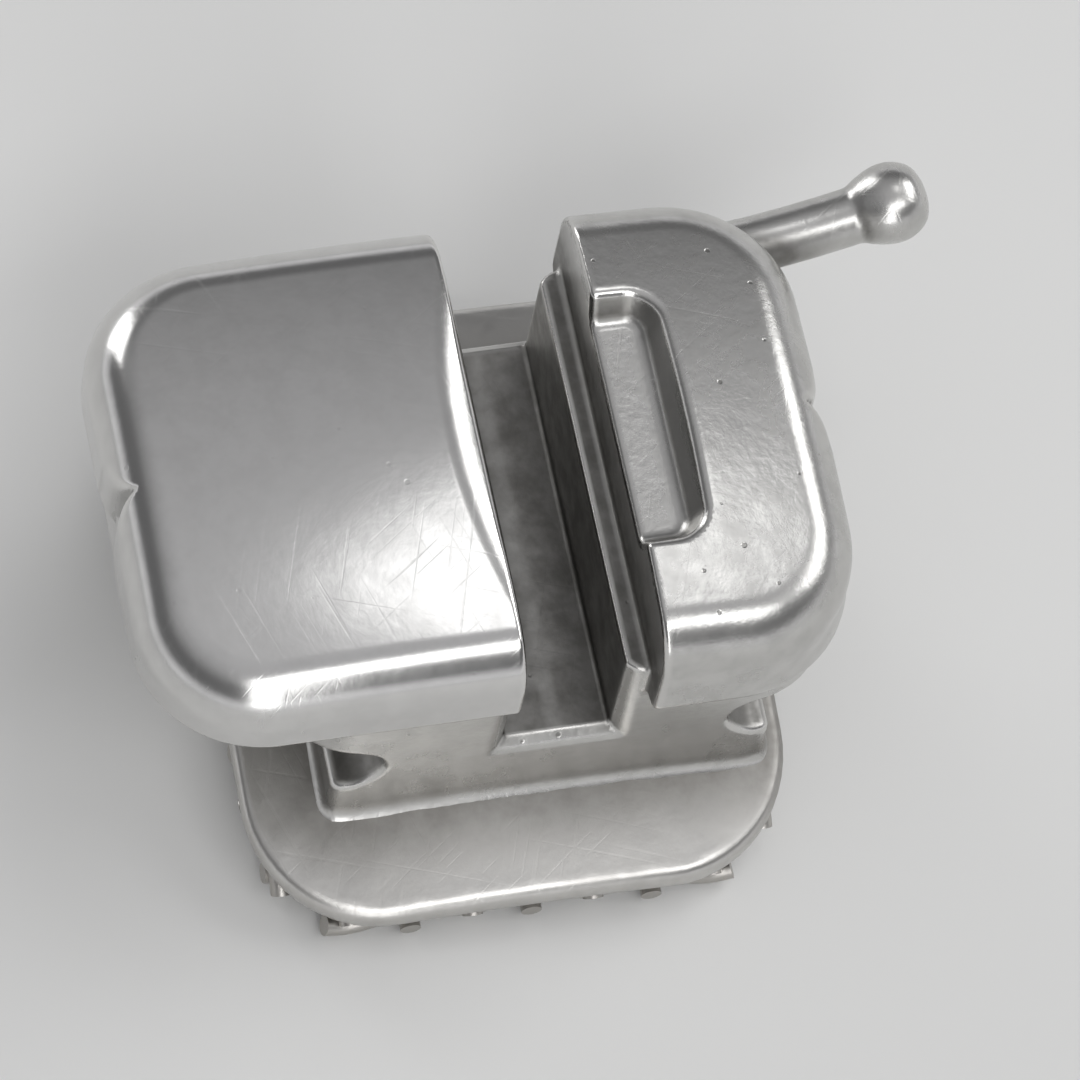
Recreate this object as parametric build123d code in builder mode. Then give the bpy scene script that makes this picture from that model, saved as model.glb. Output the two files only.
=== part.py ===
from build123d import *

import os
from math import asin, atan2, cos, degrees, radians, sin, sqrt, tan

os.makedirs("parts", exist_ok=True)

# A self-ligating orthodontic bracket for a canine tooth, in millimetres.
# +X runs across the tooth towards the midline, +Y towards the gum and +Z out to the lip.
# The origin is under the middle of the archwire slot, on the plane that the base's corners touch.
# The door is drawn slid open, clear of the archwire slot.

# Archwire slot: the 0.022 by 0.028 inch standard
SLOT_HEIGHT = 0.559
SLOT_DEPTH = 0.711
SLOT_FLARE = 0.06

# Tooth surface that the base is curved to fit
TOOTH_RADIUS_ACROSS = 5.0
TOOTH_RADIUS_ALONG = 12.0

# Bonding base: a formed foil with 80-mesh gauze on its tooth side
BASE_WIDTH = 3.4
BASE_LENGTH = 2.85
BASE_CORNER = 0.7
BASE_SETBACK = 0.14
FOIL_THICKNESS = 0.12
GAUZE_PITCH = 0.3175
GAUZE_WIRE = 0.11
GAUZE_THICKNESS = 0.2
GAUZE_GAP = 0.18
GAUZE_RIM = 0.16

# Face of the shut bracket: a pillow with rounded corners
FACE_WIDTH = 2.6
FACE_LENGTH = 3.0
FACE_CORNER = 0.65
FACE_ROUND = 0.26
FACE_CROWN_ACROSS = 7.0
FACE_CROWN_ALONG = 14.0
NOTCH_DEPTH = 0.11
NOTCH_HALF_WIDTH = 0.2

# Fixed gum-side block of the face, and the tool recess at its edge
BLOCK_LENGTH = 1.1
BLOCK_LIP = 0.22
BLOCK_LIP_ROUND = 0.1
RECESS_WIDTH = 1.44
RECESS_LENGTH = 0.36
RECESS_DEPTH = 0.22
RECESS_CORNER = 0.1
RECESS_BEVEL = 0.1

# Body under the face
FLOOR_THICKNESS = 0.4
BODY_WIDTH = 2.3
BODY_CORNER = 0.45
FOOT_LENGTH = 2.3
FOOT_HEIGHT = 0.14
WAIST_LENGTH = 1.8
WING_REACH = 1.45
WING_THICKNESS = 0.58
WING_SLOPE = 0.06
WING_TIP_ROUND = 0.12
UNDERCUT_ROUND = 0.17

# Sliding door with its dovetail key
DOOR_THICKNESS = 0.59
DOOR_CHAMFER = 0.06
DOOR_CHAMFER_SLOPE = 0.45
SEAM_GAP = 0.02
RUNNING_GAP = 0.02
OPEN_CLEARANCE = 0.02
KEY_WIDTH = 0.72
KEY_DEPTH = 0.28
KEY_FLANK_ANGLE = 30
KEY_FRONT_SETBACK = 0.03
KEY_BACK_SETBACK = 0.06

# Rolled spring pin, pressed into the door, and its dumbbell track in the body
PIN_DIAMETER = 0.28
PIN_WALL = 0.05
PIN_SLIT = 0.05
PIN_REACH = 0.17
PIN_GRIP = 0.5
PIN_CLEARANCE = 0.015
BORE_SPARE = 0.03
TRACK_WALL = 0.07
TRACK_FLOOR_GAP = 0.02
TRACK_PINCH = 0.02

# Hook cast on the distal end of the gum-side block
HOOK_DIAMETER = 0.3
HOOK_BALL_DIAMETER = 0.42
HOOK_BALL_LENGTH = 0.38
HOOK_REACH = 0.88
HOOK_SPLAY = 0.15
HOOK_RISE = 0.06
HOOK_BOW = 0.05
HOOK_ROOT_SIDE = 0.14
HOOK_ROOT_END = 0.45

# How near two places are when they count as the same
SAME_PLACE = 0.001


def tooth_drop(x, y):
    """How far the tooth's surface has fallen, at x and y, below its highest point."""
    across = TOOTH_RADIUS_ACROSS - sqrt(TOOTH_RADIUS_ACROSS**2 - x**2)
    ring = TOOTH_RADIUS_ALONG - across
    return TOOTH_RADIUS_ALONG - sqrt(ring**2 - y**2)


def corner_point(angle):
    """A point on the rounded corner of the base's outline."""
    x = BASE_WIDTH / 2 - BASE_CORNER + BASE_CORNER * cos(radians(angle))
    y = BASE_LENGTH / 2 - BASE_CORNER + BASE_CORNER * sin(radians(angle))
    return x, y


# Heights above the plane that the base's corners touch
BASE_LIFT = max(tooth_drop(*corner_point(angle)) for angle in range(0, 91, 5))
FOIL_BOTTOM = BASE_LIFT + GAUZE_THICKNESS
BASE_TOP = FOIL_BOTTOM + FOIL_THICKNESS
SLOT_FLOOR = BASE_TOP + FLOOR_THICKNESS
DOOR_UNDERSIDE = SLOT_FLOOR + SLOT_DEPTH
DECK = DOOR_UNDERSIDE - RUNNING_GAP
WING_UNDERSIDE = DECK - WING_THICKNESS
FACE_TOP = DOOR_UNDERSIDE + DOOR_THICKNESS
BLOCK_UNDERSIDE = DECK - BLOCK_LIP
KEY_BOTTOM = DECK - KEY_DEPTH
GROOVE_FLOOR = KEY_BOTTOM - RUNNING_GAP
PIN_BOTTOM = KEY_BOTTOM - PIN_REACH
TRACK_FLOOR = PIN_BOTTOM - TRACK_FLOOR_GAP

# Places along the bracket, towards the gum
SLOT_WALL = SLOT_HEIGHT / 2
SEAM = FACE_LENGTH / 2 - BLOCK_LENGTH
DOOR_EDGE = SEAM - SEAM_GAP
DOOR_TRAVEL = DOOR_EDGE + SLOT_WALL + OPEN_CLEARANCE
KEY_FRONT = -SLOT_WALL - KEY_FRONT_SETBACK
KEY_BACK = -FACE_LENGTH / 2 + KEY_BACK_SETBACK
PIN_RADIUS = PIN_DIAMETER / 2
LOBE_RADIUS = PIN_RADIUS + PIN_CLEARANCE
PIN_SHUT = -SLOT_WALL - TRACK_WALL - LOBE_RADIUS
PIN_OPEN = PIN_SHUT - DOOR_TRAVEL

# Planes and axes that the curved layers of the base and of the face are turned about
TRIM_MARGIN = 0.3
LAYER_SWEEP = 30
TOOTH_CENTRE = Vector(0, -BASE_SETBACK, BASE_LIFT - TOOTH_RADIUS_ALONG)
TOOTH_AXIS = Axis(TOOTH_CENTRE, (1, 0, 0))
FACE_CENTRE = Vector(0, 0, FACE_TOP - FACE_CROWN_ALONG)
FACE_AXIS = Axis(FACE_CENTRE, (1, 0, 0))


def layer_plane(centre):
    """An upright plane across the bracket, tipped back by half the sweep of a layer."""
    upright = Plane(origin=centre, x_dir=(1, 0, 0), z_dir=(0, -1, 0))
    return upright.rotated((-LAYER_SWEEP / 2, 0, 0))


def base_layer(inner, outer):
    """Section of a curved layer of the base, between two distances out from the tooth."""
    half = degrees(asin((BASE_WIDTH / 2 + TRIM_MARGIN) / TOOTH_RADIUS_ACROSS))
    middle = (0, TOOTH_RADIUS_ALONG - TOOTH_RADIUS_ACROSS)
    with BuildSketch(layer_plane(TOOTH_CENTRE)) as section:
        with BuildLine():
            low = CenterArc(middle, TOOTH_RADIUS_ACROSS + inner, 90 - half, 2 * half)
            high = CenterArc(middle, TOOTH_RADIUS_ACROSS + outer, 90 - half, 2 * half)
            Line(low @ 0, high @ 0)
            Line(low @ 1, high @ 1)
        make_face()
    return section.sketch


def gauze_ridges():
    """Sections of the round wires that run along the gauze, one pitch apart."""
    step = degrees(GAUZE_PITCH / TOOTH_RADIUS_ACROSS)
    count = 2 * int((BASE_WIDTH / 2 - GAUZE_WIRE / 2) / GAUZE_PITCH) + 1
    middle = TOOTH_RADIUS_ALONG - TOOTH_RADIUS_ACROSS
    reach = TOOTH_RADIUS_ACROSS + GAUZE_WIRE / 2
    with BuildSketch(layer_plane(TOOTH_CENTRE)) as section:
        for i in range(count):
            turn = radians(90 + (i - (count - 1) / 2) * step)
            with Locations((reach * cos(turn), middle + reach * sin(turn))):
                Circle(GAUZE_WIRE / 2)
    return section.sketch


def gauze_gaps():
    """Centres of the open meshes that lie wholly inside the gauze's rim."""
    columns = 2 * int((BASE_WIDTH / 2 - GAUZE_RIM) / GAUZE_PITCH)
    rows = 2 * int((BASE_LENGTH / 2 - GAUZE_RIM) / GAUZE_PITCH)
    inner = BASE_CORNER - GAUZE_RIM
    places = []
    for i in range(columns):
        for j in range(rows):
            x = (i - (columns - 1) / 2) * GAUZE_PITCH
            y = (j - (rows - 1) / 2) * GAUZE_PITCH
            past_x = max(abs(x) + GAUZE_GAP / 2 - BASE_WIDTH / 2 + BASE_CORNER, 0)
            past_y = max(abs(y) + GAUZE_GAP / 2 - BASE_LENGTH / 2 + BASE_CORNER, 0)
            if sqrt(past_x**2 + past_y**2) < inner:
                places.append((x, y - BASE_SETBACK))
    return places


def face_notch(side):
    """Outline of the V notch in one end of the face, with rounded shoulders."""
    mouth = side * FACE_LENGTH / 2
    tip = (0, mouth - side * NOTCH_DEPTH)
    with BuildSketch(Plane.XY) as outline:
        with BuildLine():
            TangentArc((-NOTCH_HALF_WIDTH, mouth), tip, tangent=(1, 0))
            TangentArc((NOTCH_HALF_WIDTH, mouth), tip, tangent=(-1, 0))
            Polyline(
                (-NOTCH_HALF_WIDTH, mouth),
                (-NOTCH_HALF_WIDTH, mouth + side * NOTCH_DEPTH),
                (NOTCH_HALF_WIDTH, mouth + side * NOTCH_DEPTH),
                (NOTCH_HALF_WIDTH, mouth),
            )
        make_face()
    return outline.sketch


# Woven gauze brazed to the tooth side of the foil: its wires stand out as ridges
with BuildPart() as bonding_mesh:
    revolve(base_layer(GAUZE_WIRE / 2, GAUZE_THICKNESS), TOOTH_AXIS, LAYER_SWEEP)
    revolve(gauze_ridges(), TOOTH_AXIS, LAYER_SWEEP)
    with BuildSketch(Plane.XY.offset(-BASE_LIFT)):
        with Locations((0, -BASE_SETBACK)):
            RectangleRounded(BASE_WIDTH, BASE_LENGTH, BASE_CORNER)
    extrude(amount=BASE_TOP + BASE_LIFT, mode=Mode.INTERSECT)
    with BuildSketch(Plane.XY.offset(-BASE_LIFT)):
        with Locations(*gauze_gaps()):
            Rectangle(GAUZE_GAP, GAUZE_GAP)
    extrude(amount=BASE_TOP + BASE_LIFT, mode=Mode.SUBTRACT)

# Foil pad, pressed to the tooth's curve, that carries the body and the gauze
with BuildPart() as base_pad:
    revolve(
        base_layer(GAUZE_THICKNESS, GAUZE_THICKNESS + FOIL_THICKNESS),
        TOOTH_AXIS,
        LAYER_SWEEP,
    )
    with BuildSketch(Plane.XY):
        with Locations((0, -BASE_SETBACK)):
            RectangleRounded(BASE_WIDTH, BASE_LENGTH, BASE_CORNER)
    extrude(amount=BASE_TOP, mode=Mode.INTERSECT)

# Shut face as one crowned pillow: the block and the door are both cut from it
with BuildPart() as face_form:
    with BuildSketch(Plane.XY.offset(WING_UNDERSIDE)):
        RectangleRounded(FACE_WIDTH, FACE_LENGTH, FACE_CORNER)
    extrude(amount=FACE_TOP - WING_UNDERSIDE)
    crown_half = degrees(asin((FACE_WIDTH / 2 + TRIM_MARGIN) / FACE_CROWN_ACROSS))
    with BuildSketch(layer_plane(FACE_CENTRE)):
        with BuildLine():
            crown = CenterArc(
                (0, FACE_CROWN_ALONG - FACE_CROWN_ACROSS),
                FACE_CROWN_ACROSS,
                90 - crown_half,
                2 * crown_half,
            )
            low = WING_UNDERSIDE - FACE_CENTRE.Z - TRIM_MARGIN
            Polyline(
                crown @ 0,
                ((crown @ 0).X, low),
                ((crown @ 1).X, low),
                crown @ 1,
            )
        make_face()
    revolve(axis=FACE_AXIS, revolution_arc=LAYER_SWEEP, mode=Mode.INTERSECT)
    fillet(face_form.faces().sort_by(Axis.Z)[-1].outer_wire().edges(), FACE_ROUND)

# Gum-side block of the face: it stands on the deck and overhangs the waist as a tie wing
with BuildPart() as fixed_block:
    add(face_form.part)
    split(bisect_by=Plane(origin=(0, SEAM, 0), z_dir=(0, 1, 0)), keep=Keep.TOP)
    split(bisect_by=Plane.XY.offset(BLOCK_UNDERSIDE), keep=Keep.TOP)
    underside = fixed_block.faces().sort_by(Axis.Z)[0]
    fillet(underside.edges().sort_by(Axis.Y)[1:], BLOCK_LIP_ROUND)
    extrude(face_notch(1), amount=FACE_TOP, mode=Mode.SUBTRACT)
    with BuildSketch(Plane.XY.offset(FACE_TOP - RECESS_DEPTH)) as recess:
        floor_width = RECESS_WIDTH - 2 * RECESS_BEVEL
        floor_end = SEAM + RECESS_LENGTH - RECESS_BEVEL
        with Locations((0, floor_end)):
            Rectangle(floor_width, BLOCK_LENGTH, align=(Align.CENTER, Align.MAX))
        fillet(recess.vertices().group_by(Axis.Y)[-1], RECESS_CORNER)
    bevel_angle = degrees(atan2(RECESS_BEVEL, RECESS_DEPTH))
    extrude(amount=RECESS_DEPTH, taper=-bevel_angle, mode=Mode.SUBTRACT)

# Body, moulded in one piece: foot, waist, tie wings, slot, fixed block and hook
with BuildPart() as bracket_body:
    with BuildSketch(Plane.YZ) as side_view:
        with BuildLine():
            foot = FOOT_LENGTH / 2
            waist = WAIST_LENGTH / 2
            foot_top = BASE_TOP + FOOT_HEIGHT
            half_outline = Polyline(
                (0, BASE_LIFT),
                (foot, BASE_LIFT),
                (foot, foot_top),
                (waist, foot_top + WING_SLOPE),
                (waist, WING_UNDERSIDE),
                (WING_REACH, WING_UNDERSIDE + WING_SLOPE),
                (WING_REACH, DECK),
                (0, DECK),
            )
            mirror(half_outline, about=Plane.YZ)
        make_face()
        corners = side_view.vertices()
        fillet([v for v in corners if abs(abs(v.X) - waist) < SAME_PLACE], UNDERCUT_ROUND)
        low_tips = corners.filter_by_position(Axis.Y, WING_UNDERSIDE, DECK - RUNNING_GAP)
        fillet([v for v in low_tips if abs(v.X) > waist + SAME_PLACE], WING_TIP_ROUND)
    extrude(amount=BODY_WIDTH / 2, both=True)
    with BuildSketch(Plane.XY):
        RectangleRounded(BODY_WIDTH, 2 * WING_REACH, BODY_CORNER)
    extrude(amount=FACE_TOP, mode=Mode.INTERSECT)
    add(fixed_block.part)

    # Hook with a ball end, cast on the distal corner of the block
    root = Vector(
        -FACE_WIDTH / 2 + HOOK_ROOT_SIDE,
        FACE_LENGTH / 2 - HOOK_ROOT_END,
        (BLOCK_UNDERSIDE + DOOR_UNDERSIDE) / 2,
    )
    reach = HOOK_REACH + HOOK_ROOT_END - HOOK_BALL_LENGTH / 2
    tip = root + Vector(-HOOK_SPLAY, reach, HOOK_RISE)
    with BuildLine() as hook_line:
        ThreePointArc(root, (root + tip) / 2 - Vector(0, 0, HOOK_BOW), tip)
    with BuildSketch(Plane(origin=hook_line.line @ 0, z_dir=hook_line.line % 0)):
        Circle(HOOK_DIAMETER / 2)
    sweep(path=hook_line.line)
    outwards = hook_line.line % 1
    across_hook = outwards.cross(Vector(0, 0, 1))
    with BuildSketch(Plane(origin=tip, x_dir=outwards, z_dir=across_hook)):
        Circle(HOOK_BALL_DIAMETER / 2)
        Rectangle(
            HOOK_BALL_LENGTH,
            HOOK_BALL_DIAMETER,
            align=(Align.CENTER, Align.MIN),
            mode=Mode.INTERSECT,
        )
    revolve(axis=Axis(tip, outwards))

    # Seat curved to the foil that the body is brazed to
    revolve(
        base_layer(-GAUZE_THICKNESS, GAUZE_THICKNESS + FOIL_THICKNESS),
        TOOTH_AXIS,
        LAYER_SWEEP,
        mode=Mode.SUBTRACT,
    )

    # Archwire slot right across, with its floor and walls flared at both ends
    with BuildSketch(Plane.YZ):
        with Locations((0, SLOT_FLOOR)):
            Rectangle(SLOT_HEIGHT, FACE_TOP, align=(Align.CENTER, Align.MIN))
    extrude(amount=FACE_WIDTH, both=True, mode=Mode.SUBTRACT)
    slot_ends = [
        e
        for e in bracket_body.edges()
        if abs(abs(e.center().X) - BODY_WIDTH / 2) < SAME_PLACE
        and abs(e.center().Y) < SLOT_WALL + SAME_PLACE
        and SLOT_FLOOR - SAME_PLACE < e.center().Z < DECK - SAME_PLACE
    ]
    chamfer(slot_ends, SLOT_FLARE)

    # Dovetail groove for the door's key, open into the slot and at the far end
    with BuildSketch(Plane.XZ):
        half_top = KEY_WIDTH / 2 + RUNNING_GAP
        depth = KEY_DEPTH + RUNNING_GAP
        half_low = half_top + depth * tan(radians(KEY_FLANK_ANGLE))
        Polygon(
            (-half_top, DECK),
            (-half_low, GROOVE_FLOOR),
            (half_low, GROOVE_FLOOR),
            (half_top, DECK),
            align=None,
        )
    extrude(amount=FACE_LENGTH, mode=Mode.SUBTRACT)

    # Track for the spring pin: two lobes, one for each stop, and a pinched neck
    with BuildSketch(Plane.XY.offset(TRACK_FLOOR)):
        with Locations((0, PIN_SHUT), (0, PIN_OPEN)):
            Circle(LOBE_RADIUS)
        with Locations((0, (PIN_SHUT + PIN_OPEN) / 2)):
            Rectangle(PIN_DIAMETER - TRACK_PINCH, DOOR_TRAVEL)
    extrude(amount=GROOVE_FLOOR - TRACK_FLOOR, mode=Mode.SUBTRACT)

# Door in its shut place: a full-width cap with the dovetail key under it
with BuildPart() as shut_door:
    add(face_form.part)
    split(bisect_by=Plane(origin=(0, DOOR_EDGE, 0), z_dir=(0, 1, 0)), keep=Keep.BOTTOM)
    split(bisect_by=Plane.XY.offset(DOOR_UNDERSIDE), keep=Keep.TOP)
    with BuildSketch(Plane.YZ):
        lip_top = FACE_TOP - DOOR_CHAMFER
        run = FACE_LENGTH / 4
        Polygon(
            (DOOR_EDGE, lip_top),
            (DOOR_EDGE, lip_top + run * DOOR_CHAMFER_SLOPE),
            (DOOR_EDGE - run, lip_top + run * DOOR_CHAMFER_SLOPE),
            align=None,
        )
    extrude(amount=FACE_WIDTH / 2, both=True, mode=Mode.SUBTRACT)
    extrude(face_notch(-1), amount=FACE_TOP, mode=Mode.SUBTRACT)
    with BuildSketch(Plane.XZ.offset(-KEY_FRONT)):
        half_top = KEY_WIDTH / 2
        half_low = half_top + KEY_DEPTH * tan(radians(KEY_FLANK_ANGLE))
        Polygon(
            (-half_top, DOOR_UNDERSIDE),
            (-half_top, DECK),
            (-half_low, KEY_BOTTOM),
            (half_low, KEY_BOTTOM),
            (half_top, DECK),
            (half_top, DOOR_UNDERSIDE),
            align=None,
        )
    extrude(amount=KEY_FRONT - KEY_BACK)
    with BuildSketch(Plane.XY.offset(KEY_BOTTOM)):
        with Locations((0, PIN_SHUT)):
            Circle(PIN_RADIUS)
    extrude(amount=PIN_GRIP + BORE_SPARE, mode=Mode.SUBTRACT)

# The same door where it rests, slid open
with BuildPart() as door:
    with Locations((0, -DOOR_TRAVEL, 0)):
        add(shut_door.part)

# Spring pin: a rolled tube with a slit down one side, held in the door's bore
with BuildPart() as spring_pin:
    with BuildSketch(Plane.XY.offset(PIN_BOTTOM)):
        with Locations((0, PIN_OPEN)):
            Circle(PIN_RADIUS)
            Circle(PIN_RADIUS - PIN_WALL, mode=Mode.SUBTRACT)
        with Locations((0, PIN_OPEN + PIN_RADIUS)):
            Rectangle(PIN_SLIT, PIN_DIAMETER, mode=Mode.SUBTRACT)
    extrude(amount=PIN_REACH + PIN_GRIP)

SUB_PARTS = {
    "bracket_body": bracket_body,
    "door": door,
    "spring_pin": spring_pin,
    "base_pad": base_pad,
    "bonding_mesh": bonding_mesh,
}
for name, piece in SUB_PARTS.items():
    piece.part.label = name
    export_step(piece.part, f"parts/{name}.step")
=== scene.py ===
import math

import bpy
import numpy as np
from mathutils import Matrix, Vector


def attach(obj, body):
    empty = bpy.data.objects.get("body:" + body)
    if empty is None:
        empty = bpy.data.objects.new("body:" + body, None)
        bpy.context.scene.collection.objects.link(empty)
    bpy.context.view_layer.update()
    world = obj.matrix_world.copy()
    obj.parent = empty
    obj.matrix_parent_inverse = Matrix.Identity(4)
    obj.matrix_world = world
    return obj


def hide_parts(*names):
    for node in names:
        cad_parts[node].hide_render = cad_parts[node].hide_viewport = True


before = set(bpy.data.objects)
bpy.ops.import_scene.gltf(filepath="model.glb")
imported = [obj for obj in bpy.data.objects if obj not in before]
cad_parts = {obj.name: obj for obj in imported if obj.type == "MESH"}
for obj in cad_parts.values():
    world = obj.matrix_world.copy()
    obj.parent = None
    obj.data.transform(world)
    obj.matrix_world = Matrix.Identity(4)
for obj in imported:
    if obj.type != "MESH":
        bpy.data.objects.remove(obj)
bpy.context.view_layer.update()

# Foil pad
# The thin pad that the bracket is bonded by: stainless foil, blanked to a rounded square and
# pressed to the curve of a canine tooth. Its sheared edge is rolled on top and burred below.
MM = 0.001
tooth_across, tooth_along = 5.0, 12.0
base_width, base_length, base_corner, base_setback = 3.4, 2.85, 0.7, 0.14
gauze_thickness, foil_thickness = 0.2, 0.12
gauze_pitch = 0.3175


def fed(tree, node, **inputs):
    """The node, with each named input linked to a socket or set to a value."""
    for name, value in inputs.items():
        socket = node.inputs[name.replace("_", " ")]
        if isinstance(value, bpy.types.NodeSocket):
            tree.links.new(value, socket)
        else:
            socket.default_value = value
    return node


def maths(tree, operation, *values):
    """A Math node of this kind, fed by sockets or plain numbers."""
    node = tree.nodes.new("ShaderNodeMath")
    node.operation = operation
    for socket, value in zip(node.inputs, values):
        if isinstance(value, bpy.types.NodeSocket):
            tree.links.new(value, socket)
        else:
            socket.default_value = value
    return node.outputs[0]


def spread_over(tree, value, low, high, to_low=0.0, to_high=1.0):
    """A value taken from one range to another, eased at both ends."""
    node = tree.nodes.new("ShaderNodeMapRange")
    node.interpolation_type = "SMOOTHSTEP"
    fed(tree, node, Value=value, From_Min=low, From_Max=high, To_Min=to_low, To_Max=to_high)
    return node.outputs["Result"]


def tinted(tree, share, first, second):
    """One colour turning into another."""
    node = tree.nodes.new("ShaderNodeMix")
    node.data_type = "RGBA"
    for index, value in ((0, share), (6, first), (7, second)):
        if isinstance(value, bpy.types.NodeSocket):
            tree.links.new(value, node.inputs[index])
        else:
            node.inputs[index].default_value = value
    return node.outputs[2]


def mottle(tree, where, scale, detail=2.0, rough=0.5):
    """Soft random mottling, with this many cells to the metre."""
    node = tree.nodes.new("ShaderNodeTexNoise")
    fed(tree, node, Vector=where, Scale=scale, Detail=detail, Roughness=rough)
    return node.outputs[0]


def marks_of(tree, name):
    """What a piece's own attribute says at each point."""
    node = tree.nodes.new("ShaderNodeAttribute")
    node.attribute_name = name
    return node.outputs["Fac"]


tumbled = bpy.data.node_groups.new("tumbled_steel", "ShaderNodeTree")
for name, kind, start in (
    ("Steel", "NodeSocketColor", (0.63, 0.61, 0.58, 1)),
    ("Tarnish", "NodeSocketColor", (0.34, 0.32, 0.30, 1)),
    ("Roughness", "NodeSocketFloat", 0.25),
    ("Spread", "NodeSocketFloat", 0.12),
    ("Grain", "NodeSocketFloat", 20000.0),
    ("Scratches", "NodeSocketFloat", 0.3),
    ("Pits", "NodeSocketFloat", 0.5),
):
    socket = tumbled.interface.new_socket(name, in_out="INPUT", socket_type=kind)
    socket.default_value = start
for name, kind in (("Colour", "Color"), ("Roughness", "Float"), ("Height", "Float")):
    tumbled.interface.new_socket(name, in_out="OUTPUT", socket_type="NodeSocket" + kind)
given = tumbled.nodes.new("NodeGroupInput").outputs
where = tumbled.nodes.new("ShaderNodeTexCoord").outputs["Object"]
broad_cells, middling_cells, pore_cells = 1100.0, 6500.0, 9000.0
broad = mottle(tumbled, where, broad_cells)
middling = mottle(tumbled, where, middling_cells, detail=3.0, rough=0.6)
grain = mottle(tumbled, where, given["Grain"], detail=3.0, rough=0.65)

# Hair scratches: mottling drawn out long and thin, laid four ways and kept to patches
long_and_thin = (60.0, 1.0, 7.0)
scratch = None
for turn, closeness in ((0.35, 52000.0), (1.25, 40000.0), (2.2, 66000.0), (2.85, 46000.0)):
    laid = tumbled.nodes.new("ShaderNodeMapping")
    laid.vector_type = "TEXTURE"
    fed(tumbled, laid, Vector=where, Rotation=(0.06, 0.04, turn), Scale=long_and_thin)
    streak = mottle(tumbled, laid.outputs[0], closeness, detail=0.0)
    line = spread_over(tumbled, streak, 0.71, 0.8)
    scratch = line if scratch is None else maths(tumbled, "MAXIMUM", scratch, line)
patches = spread_over(tumbled, broad, 0.38, 0.62)
scratch = maths(tumbled, "MULTIPLY", scratch, patches)
scratch = maths(tumbled, "MULTIPLY", scratch, given["Scratches"])

# Pores: small round pits of many sizes, with one in about a third of the cells
widest_pore, pore_wall = 0.16, 0.06
cells = tumbled.nodes.new("ShaderNodeTexVoronoi")
fed(tumbled, cells, Vector=where, Scale=pore_cells)
chance = tumbled.nodes.new("ShaderNodeSeparateColor")
tumbled.links.new(cells.outputs["Color"], chance.inputs[0])
pore = spread_over(tumbled, chance.outputs[0], 0.62, 1.0, 0.0, widest_pore)
past_rim = maths(tumbled, "SUBTRACT", cells.outputs["Distance"], pore)
pit = spread_over(tumbled, past_rim, -pore_wall, 0.0, 1.0, 0.0)
pit = maths(tumbled, "MULTIPLY", pit, given["Pits"])

# Sharp edges are burnished by handling; pores hold oxide, and hollows get oxide plus painted shade
burnished = (0.76, 0.75, 0.73, 1)
rubbed = spread_over(tumbled, middling, 0.3, 0.6, 0.5, 1.0)
worn = maths(tumbled, "MULTIPLY", marks_of(tumbled, "edge"), rubbed)
# Painted shade: the hollow mark pulls the colour dark where light reaches less, with real oxide
# too
shade_and_tarnish = spread_over(tumbled, middling, 0.25, 0.75, 0.75, 1.0)
shade_and_tarnish = maths(tumbled, "MULTIPLY", marks_of(tumbled, "hollow"), shade_and_tarnish)
faint = spread_over(tumbled, middling, 0.3, 0.75, 0.0, 0.2)
darkened = maths(tumbled, "MAXIMUM", shade_and_tarnish, faint)
darkened = maths(tumbled, "MAXIMUM", darkened, maths(tumbled, "MULTIPLY", pit, 0.8))
colour = tinted(tumbled, darkened, given["Steel"], given["Tarnish"])
colour = tinted(tumbled, maths(tumbled, "MULTIPLY", worn, 0.5), colour, burnished)

# The same marks set how dull and how deep the surface is
tarnish_dulls, scratch_dulls, wear_smooths = 0.2, 0.1, 0.07
wave_height, grain_height, scratch_depth, pore_depth = 1.6, 0.8, 0.6, 2.0
patchy = maths(tumbled, "SUBTRACT", maths(tumbled, "ADD", broad, middling), 1.0)
rough = maths(tumbled, "MULTIPLY_ADD", patchy, given["Spread"], given["Roughness"])
rough = maths(tumbled, "MULTIPLY_ADD", shade_and_tarnish, tarnish_dulls, rough)
rough = maths(tumbled, "MULTIPLY_ADD", scratch, scratch_dulls, rough)
rough = maths(tumbled, "MULTIPLY_ADD", worn, -wear_smooths, rough)
height = maths(tumbled, "MULTIPLY", grain, grain_height)
height = maths(tumbled, "MULTIPLY_ADD", middling, wave_height, height)
height = maths(tumbled, "MULTIPLY_ADD", scratch, -scratch_depth, height)
height = maths(tumbled, "MULTIPLY_ADD", pit, -pore_depth, height)
fed(tumbled, tumbled.nodes.new("NodeGroupOutput"), Colour=colour, Roughness=rough, Height=height)


def steel(name, relief, colour, tarnish_and_shade, **finish):
    """A bare steel with its own colours and finish, and the depth of its relief in metres."""
    material = bpy.data.materials.new(name)
    material.use_nodes = True
    tree = material.node_tree
    surface = tree.nodes.new("ShaderNodeGroup")
    surface.node_tree = tumbled
    fed(tree, surface, Steel=(*colour, 1), Tarnish=(*tarnish_and_shade, 1), **finish)
    bump = tree.nodes.new("ShaderNodeBump")
    fed(tree, bump, Height=surface.outputs["Height"], Strength=1.0, Distance=relief)
    shader = tree.nodes["Principled BSDF"]
    fed(tree, shader, Base_Color=surface.outputs["Colour"], Roughness=surface.outputs["Roughness"])
    fed(tree, shader, Normal=bump.outputs[0], Metallic=1.0)
    return material


# The crest of the tooth stands this high over the plane that the pad's corners rest on
corner_turn = np.radians(np.arange(0, 91, 5))
corner_x = base_width / 2 - base_corner + base_corner * np.cos(corner_turn)
corner_y = base_length / 2 - base_corner + base_corner * np.sin(corner_turn)
corner_ring = tooth_along - tooth_across + np.sqrt(tooth_across**2 - corner_x**2)
base_lift = float(np.max(tooth_along - np.sqrt(corner_ring**2 - corner_y**2)))


def over_tooth(x, y, out):
    """Height of the layer that lies this far out from the tooth, from the pad's middle."""
    reach = tooth_along - tooth_across + np.sqrt((tooth_across + out) ** 2 - x**2)
    return base_lift - tooth_along + np.sqrt(reach**2 - y**2)


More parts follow.
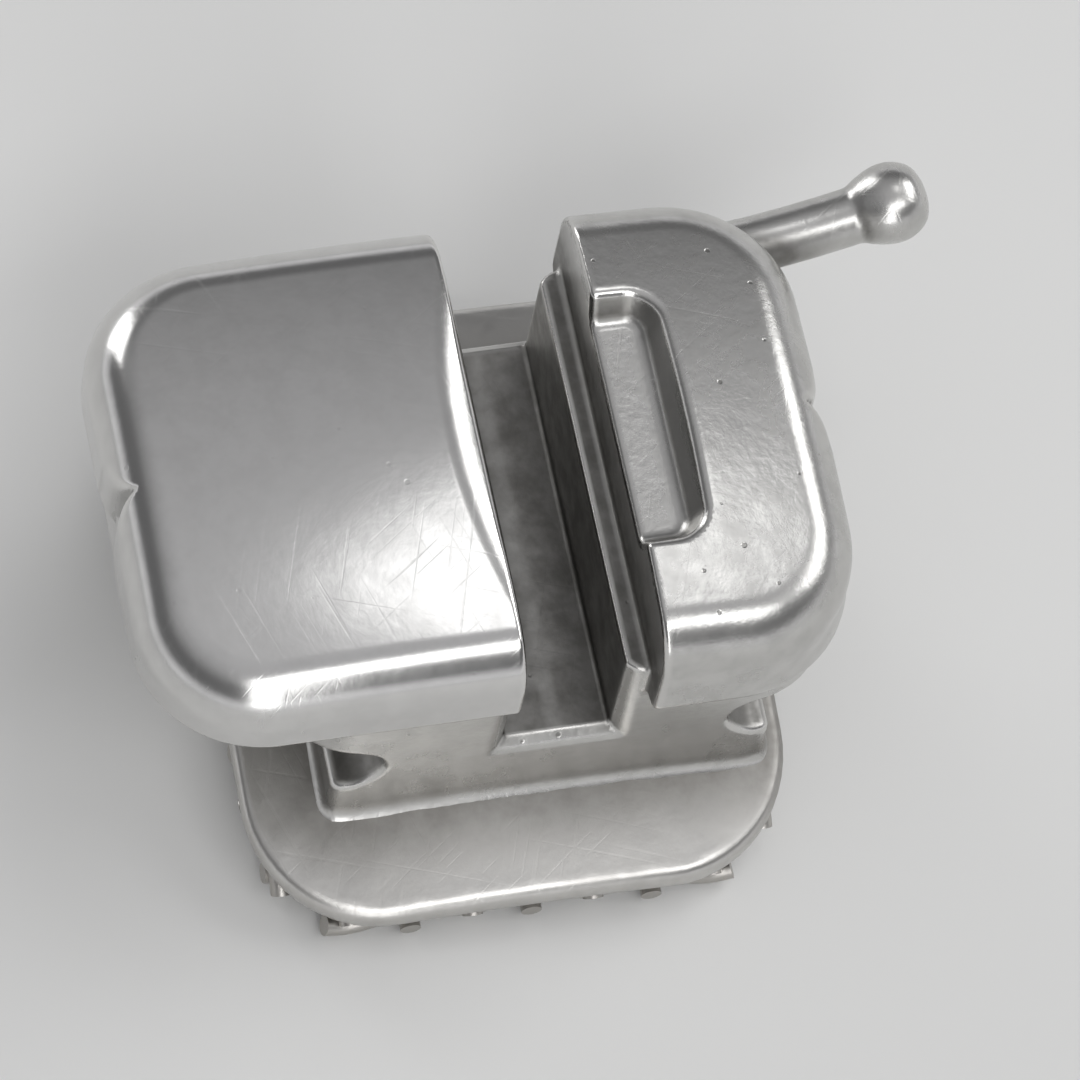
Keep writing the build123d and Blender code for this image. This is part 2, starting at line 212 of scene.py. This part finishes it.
def pad_outline(straight, turns):
    """Points round the rounded square of the pad, with the way out from its edge at each."""
    places, ways = [], []
    centre = np.array([base_width / 2 - base_corner, base_length / 2 - base_corner])
    signs = np.array([(1, 1), (-1, 1), (-1, -1), (1, -1)])
    for corner in range(4):
        for i in range(turns + 1):
            angle = math.pi / 2 * (corner + i / turns)
            ways.append(np.array([math.cos(angle), math.sin(angle)]))
            places.append(signs[corner] * centre + base_corner * ways[-1])
        start, way = places[-1], ways[-1]
        ahead = signs[(corner + 1) % 4] * centre + base_corner * way
        for i in range(1, straight):
            places.append(start + (ahead - start) * i / straight)
            ways.append(way)
    return np.array(places), np.array(ways)


def piece_of(name, points, faces, body, material, node):
    """A smooth mesh in metres from points in millimetres, in a node's place on its body."""
    mesh = bpy.data.meshes.new(name)
    mesh.from_pydata((np.asarray(points) * MM).tolist(), [], [list(face) for face in faces])
    mesh.update()
    mesh.shade_smooth()
    mesh.materials.append(material)
    piece = bpy.data.objects.new(name, mesh)
    bpy.context.scene.collection.objects.link(piece)
    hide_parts(node)
    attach(piece, body)
    return piece


# The foil's dark second colour is the braze stain round the foot, deepened as painted shade
foil_steel = steel(
    "foil_steel", relief=0.000001, colour=(0.62, 0.61, 0.59), tarnish_and_shade=(0.26, 0.25, 0.235),
    Roughness=0.32, Spread=0.16, Grain=14000.0, Scratches=0.35, Pits=0.0,
)

# The foil is laid in rings, from the middle of its top, over the rolled edge and back beneath
rolled, burr, quilting = 0.05, 0.035, 0.003
top_margin, under_margin = 0.09, 0.07
edge, out_way = pad_outline(straight=14, turns=14)
under, over = gauze_thickness, gauze_thickness + foil_thickness
top_ring, under_ring = edge - top_margin * out_way, edge - under_margin * out_way
rings = [(top_ring * share, over) for share in (0.12, 0.3, 0.5, 0.68, 0.8, 0.89)]
rings += [(edge - inset * out_way, over) for inset in (top_margin, 0.06)]
for turn in np.radians([15, 35, 55, 75, 90]):
    inset = rolled * (1 - math.sin(turn))
    rings.append((edge - inset * out_way, over - rolled * (1 - math.cos(turn))))
for inset, height_left in ((0, burr), (0.006, 0.012), (0.02, 0), (under_margin, 0)):
    rings.append((edge - inset * out_way, under + height_left))
rings += [(under_ring * share, under) for share in (0.85, 0.6, 0.35, 0.12)]
points = []
for ring, out in rings:
    x, y = ring.T
    quilt = quilting * np.cos(2 * np.pi * x / gauze_pitch) * np.cos(2 * np.pi * y / gauze_pitch)
    points.append(np.stack([x, y, over_tooth(x, y, out + (quilt if out == over else 0))], 1))
points.append([(0, 0, over_tooth(0, 0, over)), (0, 0, over_tooth(0, 0, under))])
points = np.concatenate(points)
around, top = len(edge), len(rings) * len(edge)
faces = []
for i in range(around):
    beside = (i + 1) % around
    for start in range(0, top - around, around):
        faces.append((start + i, start + around + i, start + around + beside, start + beside))
    faces.append((top, i, beside))
    faces.append((top + 1, top - around + beside, top - around + i))
points[:, 1] -= base_setback
pad = piece_of("foil_pad", points, faces, "bracket", foil_steel, "base_pad")

# Bonding gauze
# Woven 80-mesh wire cloth, brazed under the foil so that the adhesive can grip it. Each wire
# goes over one and under the next, and all are sheared off at the pad's outline.
gauze_steel = steel(
    "gauze_steel", relief=0.000001, colour=(0.50, 0.485, 0.46), tarnish_and_shade=(0.30, 0.28, 0.26),
    Roughness=0.4, Spread=0.2, Grain=26000.0, Scratches=0.4, Pits=0.3,
)
weave_sizes = {
    "Pitch": gauze_pitch * MM,
    "Wire diameter": 0.11 * MM,
    "Crimp": 0.045 * MM,
    "Shear": 0.03 * MM,
    "Wires along": 11,
    "Wires across": 9,
    "Width": base_width * MM,
    "Length": base_length * MM,
    "Corner": base_corner * MM,
    "Setback": base_setback * MM,
    "Tooth across": tooth_across * MM,
    "Tooth along": tooth_along * MM,
    "Lift": base_lift * MM,
    "Steel": gauze_steel,
}
weave = bpy.data.node_groups.new("woven_gauze", "GeometryNodeTree")
for name, value in weave_sizes.items():
    kind = {float: "Float", int: "Int"}.get(type(value), "Material")
    weave.interface.new_socket(name, in_out="INPUT", socket_type="NodeSocket" + kind)
weave.interface.new_socket("Gauze", in_out="OUTPUT", socket_type="NodeSocketGeometry")
sizes_in = weave.nodes.new("NodeGroupInput").outputs


def laid_node(kind, **inputs):
    """A node of the weave, with each named input linked or set."""
    return fed(weave, weave.nodes.new(kind), **inputs)


def figure(operation, *values):
    """A sum worked out inside the weave."""
    return maths(weave, operation, *values)


def crimped_wires(count, half_across, half_along, lengthwise):
    """One set of the wires: straight runs, trimmed to the outline, waved and bent to the tooth."""
    points_along, points_round = 97, 14
    pitch, crimp, corner = sizes_in["Pitch"], sizes_in["Crimp"], sizes_in["Corner"]
    row_axis, run_axis = ("X", "Y") if lengthwise else ("Y", "X")
    rows = laid_node("GeometryNodeMeshLine", Count=count)
    first = figure("MULTIPLY", figure("SUBTRACT", count, 1), figure("MULTIPLY", pitch, -0.5))
    start = laid_node("ShaderNodeCombineXYZ", **{row_axis: first})
    step = laid_node("ShaderNodeCombineXYZ", **{row_axis: pitch})
    fed(weave, rows, Start_Location=start.outputs[0], Offset=step.outputs[0])
    run = (0, 1, 0) if lengthwise else (1, 0, 0)
    line = laid_node("GeometryNodeCurvePrimitiveLine", Start=[-v for v in run], End=run)
    divided = laid_node("GeometryNodeResampleCurve", Curve=line.outputs[0], Count=points_along)
    laid = laid_node("GeometryNodeInstanceOnPoints", Points=rows.outputs[0])
    fed(weave, laid, Instance=divided.outputs[0])
    loose = laid_node("GeometryNodeRealizeInstances", Geometry=laid.outputs[0])
    here = weave.nodes.new("GeometryNodeInputPosition").outputs[0]
    place = laid_node("ShaderNodeSeparateXYZ", Vector=here).outputs
    row = place[row_axis]

    # The wire ends where the rounded outline does, less what the shear takes
    past = figure("SUBTRACT", figure("ABSOLUTE", row), figure("SUBTRACT", half_across, corner))
    past = figure("MAXIMUM", past, 0.0)
    square = figure("SUBTRACT", figure("POWER", corner, 2.0), figure("POWER", past, 2.0))
    half = figure("ADD", figure("SUBTRACT", half_along, corner), figure("SQRT", square))
    along = figure("MULTIPLY", place[run_axis], figure("SUBTRACT", half, sizes_in["Shear"]))

    # It waves over and under its neighbours, then the whole set is bent to the tooth
    turn = figure("MULTIPLY", figure("DIVIDE", figure("ADD", along, row), pitch), math.pi)
    wave = figure("MULTIPLY", figure("COSINE", turn), crimp)
    middle = figure("ADD", crimp, figure("MULTIPLY", sizes_in["Wire diameter"], 0.5))
    out = figure("SUBTRACT" if lengthwise else "ADD", middle, wave)
    x, y = (row, along) if lengthwise else (along, row)
    radius = figure("ADD", sizes_in["Tooth across"], out)
    fall = figure("SUBTRACT", figure("POWER", radius, 2.0), figure("POWER", x, 2.0))
    ring = figure("SUBTRACT", sizes_in["Tooth along"], sizes_in["Tooth across"])
    reach = figure("ADD", ring, figure("SQRT", fall))
    drop = figure("SUBTRACT", figure("POWER", reach, 2.0), figure("POWER", y, 2.0))
    centre = figure("SUBTRACT", sizes_in["Lift"], sizes_in["Tooth along"])
    z = figure("ADD", centre, figure("SQRT", drop))
    y = figure("SUBTRACT", y, sizes_in["Setback"])
    bent_to = laid_node("ShaderNodeCombineXYZ", X=x, Y=y, Z=z)
    bent = laid_node("GeometryNodeSetPosition", Geometry=loose.outputs[0])
    fed(weave, bent, Position=bent_to.outputs[0])
    half_wire = figure("MULTIPLY", sizes_in["Wire diameter"], 0.5)
    round_wire = laid_node("GeometryNodeCurvePrimitiveCircle", Radius=half_wire)
    fed(weave, round_wire, Resolution=points_round)
    wires = laid_node("GeometryNodeCurveToMesh", Curve=bent.outputs[0], Fill_Caps=True)
    fed(weave, wires, Profile_Curve=round_wire.outputs[0])
    return wires.outputs[0]


half_width = figure("MULTIPLY", sizes_in["Width"], 0.5)
half_length = figure("MULTIPLY", sizes_in["Length"], 0.5)
wires_along = crimped_wires(sizes_in["Wires along"], half_width, half_length, True)
wires_across = crimped_wires(sizes_in["Wires across"], half_length, half_width, False)
cloth = weave.nodes.new("GeometryNodeJoinGeometry")
weave.links.new(wires_along, cloth.inputs[0])
weave.links.new(wires_across, cloth.inputs[0])
smooth = laid_node("GeometryNodeSetShadeSmooth", Geometry=cloth.outputs[0])
whole = laid_node("GeometryNodeRealizeInstances", Geometry=smooth.outputs[0])
coated = laid_node("GeometryNodeSetMaterial", Geometry=whole.outputs[0])
fed(weave, coated, Material=sizes_in["Steel"])
laid_node("NodeGroupOutput", Gauze=coated.outputs[0])

loom = bpy.data.objects.new("gauze_loom", bpy.data.meshes.new("gauze_loom"))
bpy.context.scene.collection.objects.link(loom)
weaving = loom.modifiers.new("weave", "NODES")
weaving.node_group = weave
for item in weave.interface.items_tree:
    if item.name in weave_sizes:
        weaving[item.identifier] = weave_sizes[item.name]
bpy.context.view_layer.update()
finished_loom = loom.evaluated_get(bpy.context.evaluated_depsgraph_get())
woven = bpy.data.meshes.new_from_object(finished_loom)
bpy.data.objects.remove(loom)
gauze = bpy.data.objects.new("woven_gauze", woven)
bpy.context.scene.collection.objects.link(gauze)
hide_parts("bonding_mesh")
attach(gauze, "bracket")

# Body
# The body is one metal injection moulding: foot, waist, tie wings, archwire slot, gum-side
# block and hook. Its forms are described by their distances, with the small rounds that
# sintering and tumbling leave, and a skin is laid over them.
slot_height, slot_depth, slot_flare = 0.559, 0.711, 0.06
face_width, face_length, face_corner, face_round = 2.6, 3.0, 0.65, 0.26
crown_across, crown_along = 7.0, 14.0
block_length, block_lip = 1.1, 0.22
body_width, floor_thickness, wing_thickness = 2.3, 0.4, 0.58
door_thickness, key_width, key_depth = 0.59, 0.72, 0.28
key_slope = math.tan(math.radians(30))
seam_gap, running_gap, open_clearance = 0.02, 0.02, 0.02
pin_radius, lobe_radius, track_wall = 0.14, 0.155, 0.07
tumbled_round = 0.03

# Heights, and then places towards the gum
base_top = base_lift + gauze_thickness + foil_thickness
slot_floor = base_top + floor_thickness
door_underside = slot_floor + slot_depth
deck = door_underside - running_gap
wing_underside = deck - wing_thickness
face_top = door_underside + door_thickness
block_underside = deck - block_lip
seam = face_length / 2 - block_length
door_edge = seam - seam_gap
pin_shut = -slot_height / 2 - track_wall - lobe_radius
door_travel = door_edge + slot_height / 2 + open_clearance
pin_open = pin_shut - door_travel


def both(a, b, rounding):
    """What two forms share, with the edge between them rounded off."""
    corner = np.hypot(np.maximum(rounding + a, 0), np.maximum(rounding + b, 0))
    return np.minimum(-rounding, np.maximum(a, b)) + corner


def either(a, b, fillet):
    """Two forms together, with a fillet where they meet."""
    corner = np.hypot(np.maximum(fillet - a, 0), np.maximum(fillet - b, 0))
    return np.maximum(fillet, np.minimum(a, b)) - corner


def rounded_plan(x, y, half_x, half_y, corner):
    """Distance from a rectangle with rounded corners, in any two directions."""
    dx, dy = np.abs(x) - half_x + corner, np.abs(y) - half_y + corner
    past_corner = np.hypot(np.maximum(dx, 0), np.maximum(dy, 0))
    return past_corner + np.minimum(np.maximum(dx, dy), 0) - corner


def outline(points, a, b):
    """Distance from a closed outline of straight lines, negative inside it."""
    nearest, inside = np.inf, np.zeros(np.broadcast(a, b).shape, bool)
    for (a0, b0), (a1, b1) in zip(points, points[1:] + points[:1]):
        da, db = a1 - a0, b1 - b0
        share = np.clip(((a - a0) * da + (b - b0) * db) / (da**2 + db**2), 0, 1)
        nearest = np.minimum(nearest, np.hypot(a - a0 - share * da, b - b0 - share * db))
        if db:
            crossing = a0 + (b - b0) * da / db
            inside ^= ((b0 > b) != (b1 > b)) & (a < crossing)
    return np.where(inside, -nearest, nearest)


def barrel(x, y, z, top, across, along):
    """Distance above a surface crowned across and along, with its crest at this height."""
    around_axis = np.hypot(y, z - top + along)
    return np.hypot(x, around_axis - along + across) - across


def pillow(x, y, z):
    """The shut face: a rounded plan under a crowned top."""
    plan = rounded_plan(x, y, face_width / 2, face_length / 2, face_corner)
    crown = barrel(x, y, z, face_top, crown_across, crown_along)
    return both(plan, crown, face_round)


def v_notch(x, y, side):
    """The notch in one end of the face: two rounded shoulders that meet in a V."""
    half, depth, beyond = 0.2, 0.11, 0.2
    radius = (half**2 + depth**2) / (2 * depth)
    mouth = side * face_length / 2
    fall = []
    for turn in np.linspace(0, math.asin(half / radius), 9):
        drop = radius * (1 - math.cos(turn))
        fall.append((-half + radius * math.sin(turn), mouth - side * drop))
    rise = [(-px, py) for px, py in reversed(fall[:-1])]
    outside = mouth + side * beyond
    return outline(fall + rise + [(half, outside), (-half, outside)], x, y)


def hook_form(x, y, z):
    """The hook: a bowed round arm with a ball end that is cut off flat."""
    arm_radius, ball_radius, ball_half_length = 0.15, 0.21, 0.19
    root_side, root_end, hook_reach = 0.14, 0.45, 0.88
    splay, rise, bow = 0.15, 0.06, 0.05
    flat_round, neck_fillet = 0.05, 0.08
    middle_height = (block_underside + door_underside) / 2
    root = np.array([-face_width / 2 + root_side, face_length / 2 - root_end, middle_height])
    tip = root + np.array([-splay, hook_reach + root_end - ball_half_length, rise])
    mid = (root + tip) / 2 - np.array([0, 0, bow])

    # The bowed arm is taken in short straight runs, from its root to the ball
    nearest, before = np.inf, root
    for t in np.linspace(0, 1, 13)[1:]:
        after = (1 - t) * (1 - 2 * t) * root + 4 * t * (1 - t) * mid + t * (2 * t - 1) * tip
        run = after - before
        from_x, from_y, from_z = x - before[0], y - before[1], z - before[2]
        share = np.clip((from_x * run[0] + from_y * run[1] + from_z * run[2]) / (run @ run), 0, 1)
        side = np.hypot(from_x - share * run[0], from_y - share * run[1])
        nearest = np.minimum(nearest, np.hypot(side, from_z - share * run[2]))
        before = after

    # The ball's ends are cut off square to the last run
    outwards = run / math.sqrt(run @ run)
    dx, dy, dz = x - tip[0], y - tip[1], z - tip[2]
    ball = np.hypot(np.hypot(dx, dy), dz) - ball_radius
    flats = np.abs(dx * outwards[0] + dy * outwards[1] + dz * outwards[2]) - ball_half_length
    return either(nearest - arm_radius, both(ball, flats, flat_round), neck_fillet)


def wings_and_foot(x, y, z):
    """Foot, waist and tie wings, between the base and the deck that the door runs on."""
    foot, foot_height, waist, wing_reach = 1.15, 0.14, 0.9, 1.45
    slope, corner, sunk_in_wings = 0.06, 0.45, 0.1
    undercut_round, tip_round, side_round = 0.17, 0.12, 0.04
    past = np.abs(y) - waist
    foot_top = base_top + foot_height + slope - np.maximum(past, 0) * slope / (foot - waist)
    wing_low = wing_underside + np.maximum(past, 0) * slope / (wing_reach - waist)
    foot_part = both(np.abs(y) - foot, z - foot_top, side_round)
    waist_part = np.maximum(past, z - deck + sunk_in_wings)
    wing_part = both(np.abs(y) - wing_reach, wing_low - z, tip_round)
    wing_part = both(wing_part, z - deck, tumbled_round)
    low_half = either(foot_part, waist_part, undercut_round)
    high_half = either(waist_part, wing_part, undercut_round)
    plan = rounded_plan(x, y, body_width / 2, wing_reach, corner)
    return both(np.minimum(low_half, high_half), plan, side_round)


def gum_block(x, y, z):
    """The fixed part of the face, with its notch and its lip over the waist."""
    lip_round = 0.1
    form = both(pillow(x, y, z), block_underside - z, lip_round)
    form = both(form, seam - y, tumbled_round)
    return both(form, -v_notch(x, y, 1), tumbled_round)


def tool_recess(x, y, z):
    """The bevelled pocket at the seam that an opening tool goes into."""
    half_width, length, depth, bevel, corner = 0.62, 0.26, 0.22, 0.1, 0.1
    past_seam, floor_round = 2, 0.04
    rise = z - face_top + depth
    plan = rounded_plan(x, y - seam + past_seam, half_width, past_seam + length, corner)
    walls = (plan - rise * bevel / depth) * math.cos(math.atan2(bevel, depth))
    return both(walls, -rise, floor_round)


def brazed_to_base(form, x, y, z):
    """The form with its foot cut to the foil's curve, and a fillet of braze around it."""
    braze_fillet, braze_reach, braze_round = 0.11, 0.07, 0.005
    braze_top, braze_bottom = 0.025, 0.065
    out = gauze_thickness + foil_thickness
    seat = barrel(x, y + base_setback, z, base_top, tooth_across + out, tooth_along + out)
    skirt = either(form, seat + braze_top, braze_fillet)
    skirt = both(skirt, form - braze_reach, braze_round)
    return both(skirt, -(seat + braze_bottom), braze_round)


def archwire_slot(x, y, z):
    """The slot right across the body, flared at both ends."""
    corner_round = 0.02
    flare = np.clip(np.abs(x) - body_width / 2 + slot_flare, 0, slot_flare)
    slot = both(np.abs(y) - slot_height / 2 - flare, slot_floor - flare - z, corner_round)

    # The flared walls stand at 45 degrees, which shortens the distance to them
    return slot * np.where(flare > 0, math.sqrt(0.5), 1)


def dovetail_groove(x, y, z):
    """The groove for the door's key, from the slot to the biting end."""
    above = 0.3
    half_top, low, high = key_width / 2 + running_gap, deck - key_depth - running_gap, deck + above
    half_low = half_top + (deck - low) * key_slope
    half_high = half_top - above * key_slope
    corners = [(-half_high, high), (-half_low, low), (half_low, low), (half_high, high)]
    return np.maximum(outline(corners, x, z), y)


def pin_track(x, y, z):
    """The dumbbell track in the groove's floor: a lobe for each stop and a pinched neck."""
    neck_half_width, depth = 0.13, 0.17
    floor = deck - key_depth - running_gap - depth
    lobes = np.minimum(np.hypot(x, y - pin_shut), np.hypot(x, y - pin_open)) - lobe_radius
    past_neck = np.abs(y - (pin_shut + pin_open) / 2) - door_travel / 2
    neck = np.maximum(np.abs(x) - neck_half_width, past_neck)
    return np.maximum(np.minimum(lobes, neck), floor - z)


def moulded_body(x, y, z):
    """Distance from the moulded body. The fillet under the block widens towards the gum."""
    hook_fillet, recess_round, slot_round = 0.1, 0.035, 0.025
    groove_round, track_round = 0.02, 0.012
    block_fillet = np.interp(y, (0.6, 1.1), (0.04, 0.12))
    form = either(wings_and_foot(x, y, z), gum_block(x, y, z), block_fillet)
    form = either(form, hook_form(x, y, z), hook_fillet)
    form = brazed_to_base(form, x, y, z)
    form = both(form, -tool_recess(x, y, z), recess_round)
    form = both(form, -archwire_slot(x, y, z), slot_round)
    form = both(form, -dovetail_groove(x, y, z), groove_round)
    return both(form, -pin_track(x, y, z), track_round)


def slope_of(form, points, near):
    """The way out from a form at each point."""
    slope = np.empty_like(points)
    for axis in range(3):
        step = np.zeros(3)
        step[axis] = near
        slope[:, axis] = (form(*(points + step).T) - form(*(points - step).T)) / (2 * near)
    return slope


def skin_over(form, low, high, step):
    """A closed skin of four-sided faces over a form, drawn onto its true surface."""
    passes, least_slope = 3, 0.3
    lines = [np.arange(low[a] - 2 * step, high[a] + 3 * step, step) for a in range(3)]
    field = form(*np.meshgrid(*lines, indexing="ij", sparse=True))

    # Wherever the form's surface crosses a line of the grid, the skin has a face, with one corner
    # in each of the four cells round that line
    cells, places, sides = [], [], []
    for axis in range(3):
        here, ahead = [slice(None)] * 3, [slice(None)] * 3
        here[axis], ahead[axis] = slice(0, -1), slice(1, None)
        start, end = field[tuple(here)], field[tuple(ahead)]
        at = np.argwhere((start < 0) != (end < 0))
        f0, f1 = start[tuple(at.T)], end[tuple(at.T)]
        place = at.astype(float)
        place[:, axis] += f0 / (f0 - f1)
        around = []
        for da, db in ((0, 0), (1, 0), (1, 1), (0, 1)):
            cell = at.copy()
            cell[:, (axis + 1) % 3] -= da
            cell[:, (axis + 2) % 3] -= db
            around.append(np.ravel_multi_index(cell.T, field.shape))
            places.append(place)
        cells += around
        side = np.stack(around, 1)
        side[f0 > 0] = side[f0 > 0][:, ::-1]
        sides.append(side)

    # Each corner starts in the middle of its cell's crossings, then is drawn onto the surface
    ids, owner = np.unique(np.concatenate(cells), return_inverse=True)
    places = np.concatenate(places)
    sharing = np.bincount(owner)
    points = np.stack([np.bincount(owner, places[:, a]) / sharing for a in range(3)], 1)
    points = points * step + np.array([line[0] for line in lines])
    for _ in range(passes):
        away, slope = form(*points.T), slope_of(form, points, step / 8)
        move = (away / np.maximum((slope**2).sum(1), least_slope))[:, None] * slope
        points -= np.clip(move, -step / 2, step / 2)
    return points, np.searchsorted(ids, np.concatenate(sides))


def marked(piece, form, points):
    """Stores how sharp and how sunken the form is at each point, for wear and for oxide plus
    painted shade.
    """
    nearest, near, far_places = 0.01, 0.03, (0.09, 0.25, 0.6, 0.9)
    flattest, sharpest = 7, 25
    slope = slope_of(form, points, nearest)
    out = slope / np.linalg.norm(slope, axis=1)[:, None]

    # The form falls away round a sharp edge, so the distances close by add up to more there
    around = -6 * form(*points.T)
    for axis in range(3):
        step = np.zeros(3)
        step[axis] = near
        around += form(*(points + step).T) + form(*(points - step).T)
    sharp = np.clip((around / near**2 - flattest) / (sharpest - flattest), 0, 1)

    # Moved straight out, a point soon leaves a flat face, but stays near the walls of a hollow
    # The sunken mark works as an occlusion measure, so the darkening it drives is largely painted
    # shade
    sunk = 0
    for far in far_places:
        sunk = sunk + np.clip(1.1 - form(*(points + far * out).T) / far, 0, 1)
    sunk = np.clip(0.7 * sunk - 0.25, 0, 1)
    for name, values in (("edge", sharp), ("hollow", sunk)):
        mark = piece.data.attributes.new(name, "FLOAT", "POINT")
        mark.data.foreach_set("value", values.astype(np.float32))
    piece.data.normals_split_custom_set_from_vertices(out.tolist())


# The body's dark second colour is oxide in the slot and undercuts, deepened as painted shade
moulded_steel = steel(
    "moulded_steel", relief=0.0000012, colour=(0.60, 0.595, 0.58), tarnish_and_shade=(0.19, 0.185, 0.175),
    Roughness=0.27, Spread=0.14, Grain=24000.0, Scratches=0.35, Pits=0.8,
)
points, faces = skin_over(
    moulded_body, low=(-1.56, -1.47, 0.391), high=(1.31, 2.39, 2.36), step=0.0222
)
body = piece_of(
    "moulded_body", points, faces, "bracket", moulded_steel, "bracket_body"
)
marked(body, moulded_body, points)

# Brazing leaves the foil stained around the foot, darkened further there as painted shade
stain_and_shade_reach = 0.35
stain_and_shade = pad.data.attributes.new("hollow", "FLOAT", "POINT")
from_foot = moulded_body(*(np.array([v.co for v in pad.data.vertices]) / MM).T)
stain_and_shade.data.foreach_set("value", np.clip(1 - from_foot / stain_and_shade_reach, 0, 1).astype(np.float32))

# Door
# The door slides over the archwire slot. It is moulded, then polished brighter than the body,
# and a dovetail key under it runs in the body's groove.


def door_key(x, y, z):
    """The dovetail key, with its top sunk into the door."""
    sunk, front_setback, back_setback, key_round = 0.1, 0.03, 0.06, 0.02
    low, high, half_top = deck - key_depth, door_underside + sunk, key_width / 2
    half_low = half_top + key_depth * key_slope
    right = [(half_low, low), (half_top, deck), (half_top, high)]
    section = outline([(-px, pz) for px, pz in reversed(right)] + right, x, z)
    front, back = -slot_height / 2 - front_setback, -face_length / 2 + back_setback
    return both(section, np.maximum(y - front, back - y), key_round)


def sliding_door(x, y, z):
    """Distance from the door where it rests, slid open."""
    bevel_depth, bevel_slope, bore_depth, bore_round = 0.06, 0.45, 0.53, 0.01
    y = y + door_travel
    form = both(pillow(x, y, z), door_underside - z, tumbled_round)
    bevel = z - face_top + bevel_depth - bevel_slope * (door_edge - y)
    form = both(form, bevel / math.hypot(1, bevel_slope), tumbled_round)
    form = both(form, y - door_edge, tumbled_round)
    form = both(form, -v_notch(x, y, -1), tumbled_round)
    form = np.minimum(form, door_key(x, y, z))
    bore = np.hypot(x, y - pin_shut) - pin_radius
    bore = np.maximum(bore, z - deck + key_depth - bore_depth)
    return both(form, -bore, bore_round)


# The door's second colour darkens its hollows: some oxide, and painted shade
polished_steel = steel(
    "polished_steel", relief=0.0000004, colour=(0.66, 0.655, 0.645), tarnish_and_shade=(0.42, 0.415, 0.405),
    Roughness=0.19, Spread=0.1, Grain=16000.0, Scratches=0.6, Pits=0.3,
)
points, faces = skin_over(
    sliding_door, low=(-1.31, -2.19, 1.45), high=(1.31, -0.29, 2.36), step=0.015
)
door = piece_of("sliding_door", points, faces, "door", polished_steel, "door")
marked(door, sliding_door, points)

# Spring pin
# A rolled tube of spring alloy, pressed into the door's bore. It runs in the body's track and
# clicks into a lobe at each stop.
spring_alloy = steel(
    "spring_alloy", relief=0.0000008, colour=(0.55, 0.53, 0.50), tarnish_and_shade=(0.36, 0.34, 0.32),
    Roughness=0.3, Spread=0.1, Grain=20000.0, Scratches=0.8, Pits=0.0,
)
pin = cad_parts["spring_pin"]
pin.data.materials.clear()
pin.data.materials.append(spring_alloy)

# Floor, lamps and camera
# A pale matt floor, under soft rectangular lamps and a room with a dark band that the bright
# steel mirrors. A long lens looks on from the photograph's side.
low, high = -3, 3
floor_corners = [(low, low, 0), (high, low, 0), (high, high, 0), (low, high, 0)]
floor_mesh = bpy.data.meshes.new("floor")
floor_mesh.from_pydata(floor_corners, [], [(0, 1, 2, 3)])
floor = bpy.data.objects.new("floor", floor_mesh)
bpy.context.scene.collection.objects.link(floor)
paint = bpy.data.materials.new("floor_paint")
paint.use_nodes = True
matt = paint.node_tree.nodes["Principled BSDF"]
fed(paint.node_tree, matt, Base_Color=(0.8, 0.8, 0.79, 1), Roughness=0.9)
floor_mesh.materials.append(paint)

# How bright the room is, from straight below to straight above
levels = (
    (0.0, 0.6), (0.5, 0.85), (0.58, 0.7), (0.66, 0.14), (0.8, 0.16), (0.92, 0.42), (1.0, 0.55),
)
world = bpy.data.worlds.new("studio")
bpy.context.scene.world = world
world.use_nodes = True
sky = world.node_tree
facing = sky.nodes.new("ShaderNodeSeparateXYZ")
sky.links.new(sky.nodes.new("ShaderNodeTexCoord").outputs["Generated"], facing.inputs[0])
ramp = sky.nodes.new("ShaderNodeValToRGB")
ramp.color_ramp.elements.remove(ramp.color_ramp.elements[1])
for position, level in levels:
    ramp.color_ramp.elements.new(position).color = (level, level, level * 1.02, 1)
ramp.color_ramp.elements.remove(ramp.color_ramp.elements[0])
sky.links.new(maths(sky, "MULTIPLY_ADD", facing.outputs["Z"], 0.5, 0.5), ramp.inputs[0])
sky.links.new(ramp.outputs[0], sky.nodes["Background"].inputs["Color"])


middle_point = Vector((0, 0, 0.0012))
lamp_distance = 0.085


def lamp(name, way, width, height, brightness):
    """A soft rectangular lamp as bright as this, in this direction from the bracket."""
    data = bpy.data.lights.new(name, "AREA")
    data.shape = "RECTANGLE"
    data.size, data.size_y = width, height
    data.energy = brightness * math.pi * width * height
    light = bpy.data.objects.new(name, data)
    way = Vector(way).normalized()
    light.location = middle_point + way * lamp_distance
    light.rotation_euler = way.to_track_quat("Z", "Y").to_euler()
    bpy.context.scene.collection.objects.link(light)


lamp("top_lamp", (-0.20, 0.24, 0.95), width=0.022, height=0.022, brightness=1.7)
lamp("strip_lamp", (0.56, 0.18, 0.81), width=0.060, height=0.022, brightness=3.2)
lamp("gum_lamp", (-0.12, 0.72, 0.64), width=0.072, height=0.027, brightness=3.4)
lamp("side_lamp", (0.80, -0.10, 0.45), width=0.027, height=0.070, brightness=2.6)
lamp("back_lamp", (-0.85, -0.50, 0.32), width=0.027, height=0.050, brightness=2.6)

# The camera stands where the photograph was taken from, turned about its line of sight
looked_at, camera_distance = Vector((0.0001, 0.0001, 0.0012)), 0.046
azimuth, elevation, roll = math.radians(66), math.radians(63), math.radians(14)
level_right = Vector((math.cos(azimuth), math.sin(azimuth), 0))
level_back = Vector((math.sin(azimuth), -math.cos(azimuth), 0))
back = level_back * math.cos(elevation) + Vector((0, 0, math.sin(elevation)))
level_up = back.cross(level_right)
right = level_right * math.cos(roll) + level_up * math.sin(roll)
up = level_up * math.cos(roll) - level_right * math.sin(roll)
camera = bpy.data.objects.new("camera", bpy.data.cameras.new("camera"))
camera.data.lens = 300
camera.data.clip_start, camera.data.clip_end = 0.001, 5
camera.location = looked_at + back * camera_distance
camera.rotation_euler = Matrix((right, up, back)).transposed().to_euler()
bpy.context.scene.collection.objects.link(camera)
bpy.context.scene.camera = camera
bpy.context.scene.view_settings.view_transform = "Standard"

bpy.context.view_layer.update()
